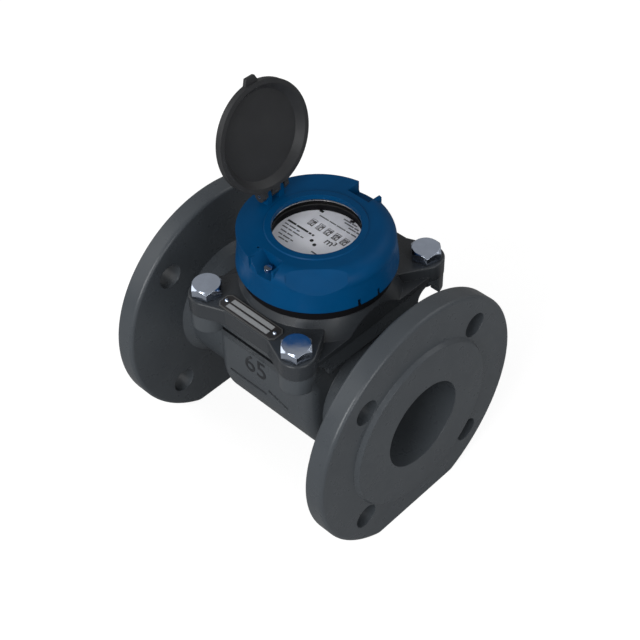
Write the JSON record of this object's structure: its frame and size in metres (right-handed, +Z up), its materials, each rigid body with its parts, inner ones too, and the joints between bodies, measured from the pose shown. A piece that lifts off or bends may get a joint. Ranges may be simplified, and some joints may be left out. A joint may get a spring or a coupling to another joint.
{
  "type": "water meter",
  "caption": "Flanged turbine water meter in dark cast iron with a bolted cover, a blue register cap and an open hinged lid over a drum counter.",
  "frame": {"origin": "on the floor midway between the flange faces, under the pipe axis", "axes": "+X with the flow from inlet to outlet, +Y across the pipe to the back, +Z up towards the register"},
  "size_m": [0.2, 0.185, 0.2848],
  "materials": {
    "cast_iron_paint": "satin dark grey paint on cast iron",
    "plated_steel": "bright zinc plate",
    "plain_steel": "fine ground",
    "brass_work": "turned",
    "plate_metal": "printed sheet",
    "water_plastic": "moulded",
    "rotor_plastic": "moulded",
    "black_plastic": "moulded",
    "white_plastic": "moulded",
    "blue_plastic": "satin blue moulding",
    "lid_plastic": "satin charcoal moulding",
    "dial_print": "printed light grey",
    "seal_rubber": "moulded",
    "clear_glass": "clear"
  },
  "bodies": {
    "meter_body": {"body_casting": "cast_iron_paint", "cover_plate": "cast_iron_paint", "cover_bolts": "plated_steel", "nameplate_rivets": "plated_steel", "seal_screw": "plated_steel", "insert_screws": "plain_steel", "drum_shaft": "plain_steel", "carry_shaft": "plain_steel", "hinge_pin": "plain_steel", "retaining_ring": "plain_steel", "front_bearing": "plain_steel", "rear_bearing": "plain_steel", "lower_bush": "plain_steel", "upper_bush": "plain_steel", "register_case": "brass_work", "movement_base": "brass_work", "gear_bridge": "brass_work", "left_drum_bracket": "brass_work", "right_drum_bracket": "brass_work", "regulator_plug": "brass_work", "pressure_plate": "brass_work", "nameplate": "plate_metal", "insert_frame": "water_plastic", "inlet_straightener": "water_plastic", "bearing_carrier": "water_plastic", "clamp_ring": "black_plastic", "dial_surround": "black_plastic", "carry_pinions": "white_plastic", "register_cap": "blue_plastic", "dial_plate": "dial_print", "cover_gasket": "seal_rubber", "pressure_seal": "seal_rubber", "glass_gasket": "seal_rubber", "window_glass": "clear_glass"},
    "rotor_body": {"rotor": "rotor_plastic", "rotor_shaft": "plain_steel", "rotor_worm": "rotor_plastic"},
    "transfer_body": {"worm_wheel": "rotor_plastic", "upright_shaft": "plain_steel", "driving_magnet": "plain_steel"},
    "follower_body": {"following_magnet": "plain_steel", "magnet_spindle": "plain_steel"},
    "middle_body": {"middle_gear": "white_plastic"},
    "counter_body": {"counter_gear": "white_plastic", "counter_worm": "white_plastic"},
    "drum_1_body": {"number_drum_1": "white_plastic", "counter_wheel": "white_plastic"},
    "drum_2_body": {"number_drum_2": "white_plastic"},
    "drum_3_body": {"number_drum_3": "white_plastic"},
    "drum_4_body": {"number_drum_4": "white_plastic"},
    "drum_5_body": {"number_drum_5": "white_plastic"},
    "vane_body": {"regulating_vane": "water_plastic"},
    "lid_body": {"lid": "lid_plastic"}
  },
  "joints": [
    {"name": "rotor_spin", "type": "hinge", "parent": "meter_body", "child": "rotor_body", "pos_m": [0, 0, 0.0825], "axis": [1, 0, 0], "continuous": true},
    {"name": "upright_spin", "type": "hinge", "parent": "meter_body", "child": "transfer_body", "pos_m": [0.007, 0.009, 0.0825], "axis": [0, 0, 1], "continuous": true},
    {"name": "magnet_spin", "type": "hinge", "parent": "meter_body", "child": "follower_body", "pos_m": [0.007, 0.009, 0.155], "axis": [0, 0, 1], "continuous": true},
    {"name": "middle_spin", "type": "hinge", "parent": "meter_body", "child": "middle_body", "pos_m": [0.01324, -0.00464, 0.163], "axis": [0, 0, 1], "continuous": true},
    {"name": "counter_spin", "type": "hinge", "parent": "meter_body", "child": "counter_body", "pos_m": [0.0275, 0, 0.163], "axis": [0, 0, 1], "continuous": true},
    {"name": "drum_1_spin", "type": "hinge", "parent": "meter_body", "child": "drum_1_body", "pos_m": [0.021, 0.0106, 0.1769], "axis": [1, 0, 0], "continuous": true},
    {"name": "drum_2_spin", "type": "hinge", "parent": "meter_body", "child": "drum_2_body", "pos_m": [0.014, 0.0106, 0.1769], "axis": [1, 0, 0], "continuous": true},
    {"name": "drum_3_spin", "type": "hinge", "parent": "meter_body", "child": "drum_3_body", "pos_m": [0.007, 0.0106, 0.1769], "axis": [1, 0, 0], "continuous": true},
    {"name": "drum_4_spin", "type": "hinge", "parent": "meter_body", "child": "drum_4_body", "pos_m": [0, 0.0106, 0.1769], "axis": [1, 0, 0], "continuous": true},
    {"name": "drum_5_spin", "type": "hinge", "parent": "meter_body", "child": "drum_5_body", "pos_m": [-0.007, 0.0106, 0.1769], "axis": [1, 0, 0], "continuous": true},
    {"name": "regulating_turn", "type": "hinge", "parent": "meter_body", "child": "vane_body", "pos_m": [-0.026, 0, 0.1], "axis": [0, 0, 1], "range_deg": [-20, 20]},
    {"name": "lid_hinge", "type": "hinge", "parent": "meter_body", "child": "lid_body", "pos_m": [-0.0326, 0, 0.2056], "axis": [0, 1, 0], "range_deg": [0, 102]}
  ],
  "couplings": [
    {"joint": "upright_spin", "follows": "rotor_spin", "ratio": -0.0625},
    {"joint": "magnet_spin", "follows": "rotor_spin", "ratio": -0.0625},
    {"joint": "middle_spin", "follows": "rotor_spin", "ratio": 0.015625},
    {"joint": "counter_spin", "follows": "rotor_spin", "ratio": -0.0039062},
    {"joint": "drum_1_spin", "follows": "rotor_spin", "ratio": -0.00019531},
    {"joint": "drum_2_spin", "follows": "rotor_spin", "ratio": -0.000019531},
    {"joint": "drum_3_spin", "follows": "rotor_spin", "ratio": -0.0000019531},
    {"joint": "drum_4_spin", "follows": "rotor_spin", "ratio": -0.00000019531},
    {"joint": "drum_5_spin", "follows": "rotor_spin", "ratio": -0.000000019531}
  ]
}
